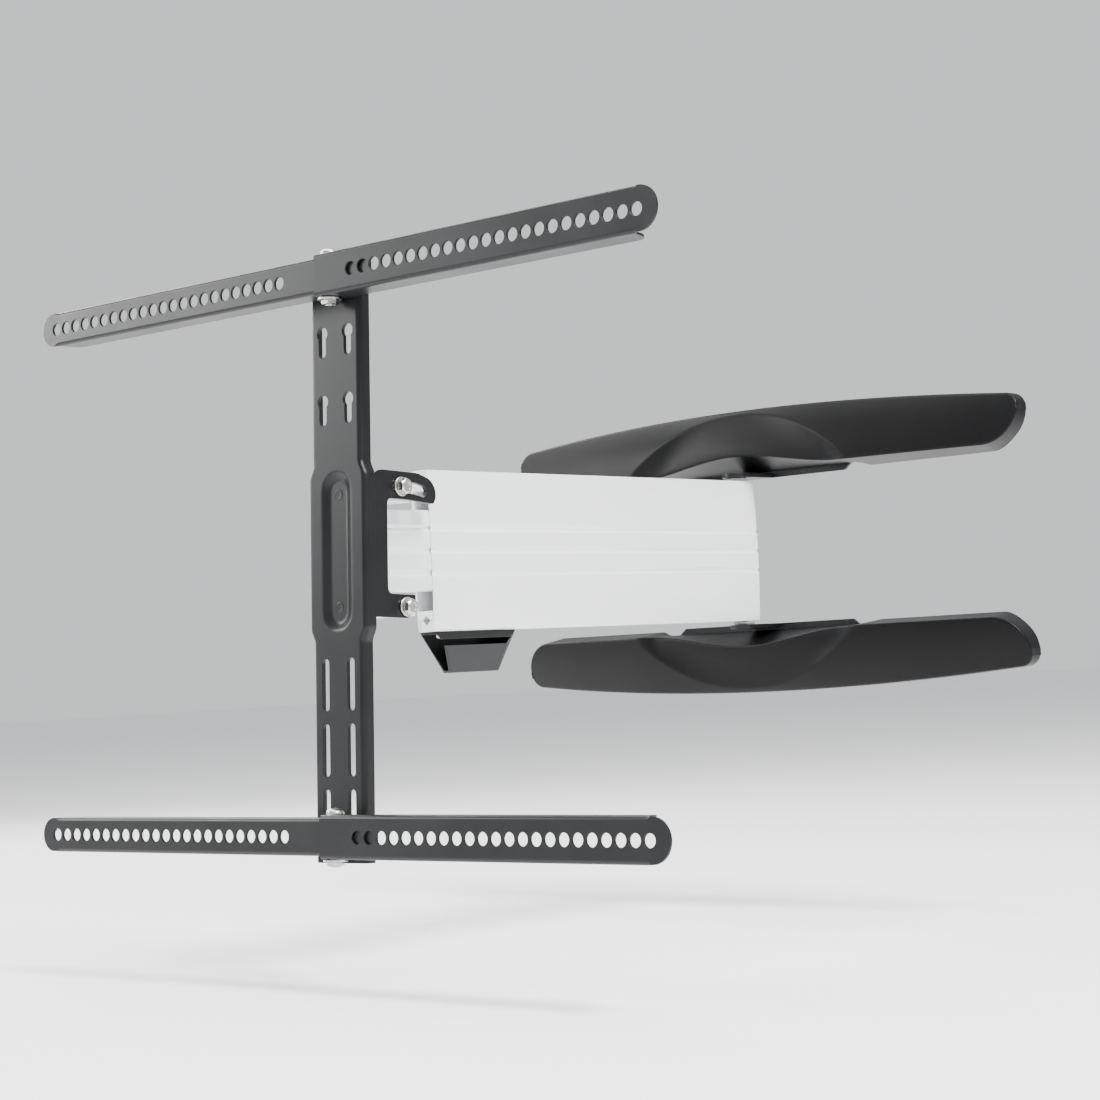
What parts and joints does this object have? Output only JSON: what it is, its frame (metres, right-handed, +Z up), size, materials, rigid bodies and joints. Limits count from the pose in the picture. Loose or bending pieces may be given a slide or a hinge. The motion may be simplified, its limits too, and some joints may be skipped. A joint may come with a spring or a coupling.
{
  "type": "full motion tv wall mount",
  "caption": "Articulated wall mount for a television: covered wall brackets, swinging arm, swivel and tilt head, and a column with two drilled rails.",
  "frame": {"origin": "on the wall face, on the wall hinge's centre plane, on the back of the upper wall bracket", "axes": "+Z up, -Y out from the wall into the room, +X along the wall to the right seen from the room"},
  "size_m": [0.634, 0.5469, 0.4412],
  "materials": {
    "black_steel": "satin black powder coat",
    "black_plastic": "fine textured moulding",
    "silver_aluminium": "clear anodised",
    "zinc_steel": "bright zinc plate",
    "grey_nylon": "moulded"
  },
  "bodies": {
    "wall": {"cover_lower": "black_plastic", "cover_upper": "black_plastic", "hinge_screw_lower": "zinc_steel", "hinge_screw_upper": "zinc_steel", "hinge_shaft": "zinc_steel", "hinge_washer_lower": "grey_nylon", "hinge_washer_upper": "grey_nylon", "wall_bracket_lower": "black_steel", "wall_bracket_upper": "black_steel"},
    "arm": {"arm_beam": "silver_aluminium", "arm_shell_left": "silver_aluminium", "arm_shell_right": "silver_aluminium", "cable_clip": "black_steel", "clip_screw": "zinc_steel", "screen_bush": "grey_nylon", "screen_knuckle": "silver_aluminium", "wall_bush": "grey_nylon", "wall_knuckle": "silver_aluminium"},
    "swivel_head": {"swivel_fork": "silver_aluminium", "swivel_pin": "zinc_steel", "swivel_washer_lower": "grey_nylon", "swivel_washer_upper": "grey_nylon", "tilt_bolt_lower_left": "zinc_steel", "tilt_bolt_lower_right": "zinc_steel", "tilt_bolt_upper_left": "zinc_steel", "tilt_bolt_upper_right": "zinc_steel", "tilt_washer_lower_left": "zinc_steel", "tilt_washer_lower_right": "zinc_steel", "tilt_washer_upper_left": "zinc_steel", "tilt_washer_upper_right": "zinc_steel"},
    "screen_frame": {"column": "black_steel", "column_rivet_lower": "black_steel", "column_rivet_upper": "black_steel", "rail_bolt_lower": "zinc_steel", "rail_bolt_upper": "zinc_steel", "rail_lower_left": "black_steel", "rail_lower_right": "black_steel", "rail_nut_lower": "zinc_steel", "rail_nut_upper": "zinc_steel", "rail_saddle_lower": "black_steel", "rail_saddle_upper": "black_steel", "rail_upper_left": "black_steel", "rail_upper_right": "black_steel", "rail_washer_lower": "zinc_steel", "rail_washer_upper": "zinc_steel", "tilt_bracket": "black_steel"}
  },
  "joints": [
    {"name": "wall_swivel", "type": "hinge", "parent": "wall", "child": "arm", "pos_m": [0, -0.036, -0.0865], "axis": [0, 0, 1], "range_deg": [-90, 90]},
    {"name": "screen_swivel", "type": "hinge", "parent": "arm", "child": "swivel_head", "pos_m": [0, -0.474, -0.0865], "axis": [0, 0, 1], "range_deg": [-90, 90]},
    {"name": "tilt", "type": "hinge", "parent": "swivel_head", "child": "screen_frame", "pos_m": [0, -0.474, -0.1285], "axis": [1, 0, 0], "range_deg": [-2.1, 14.9]}
  ]
}
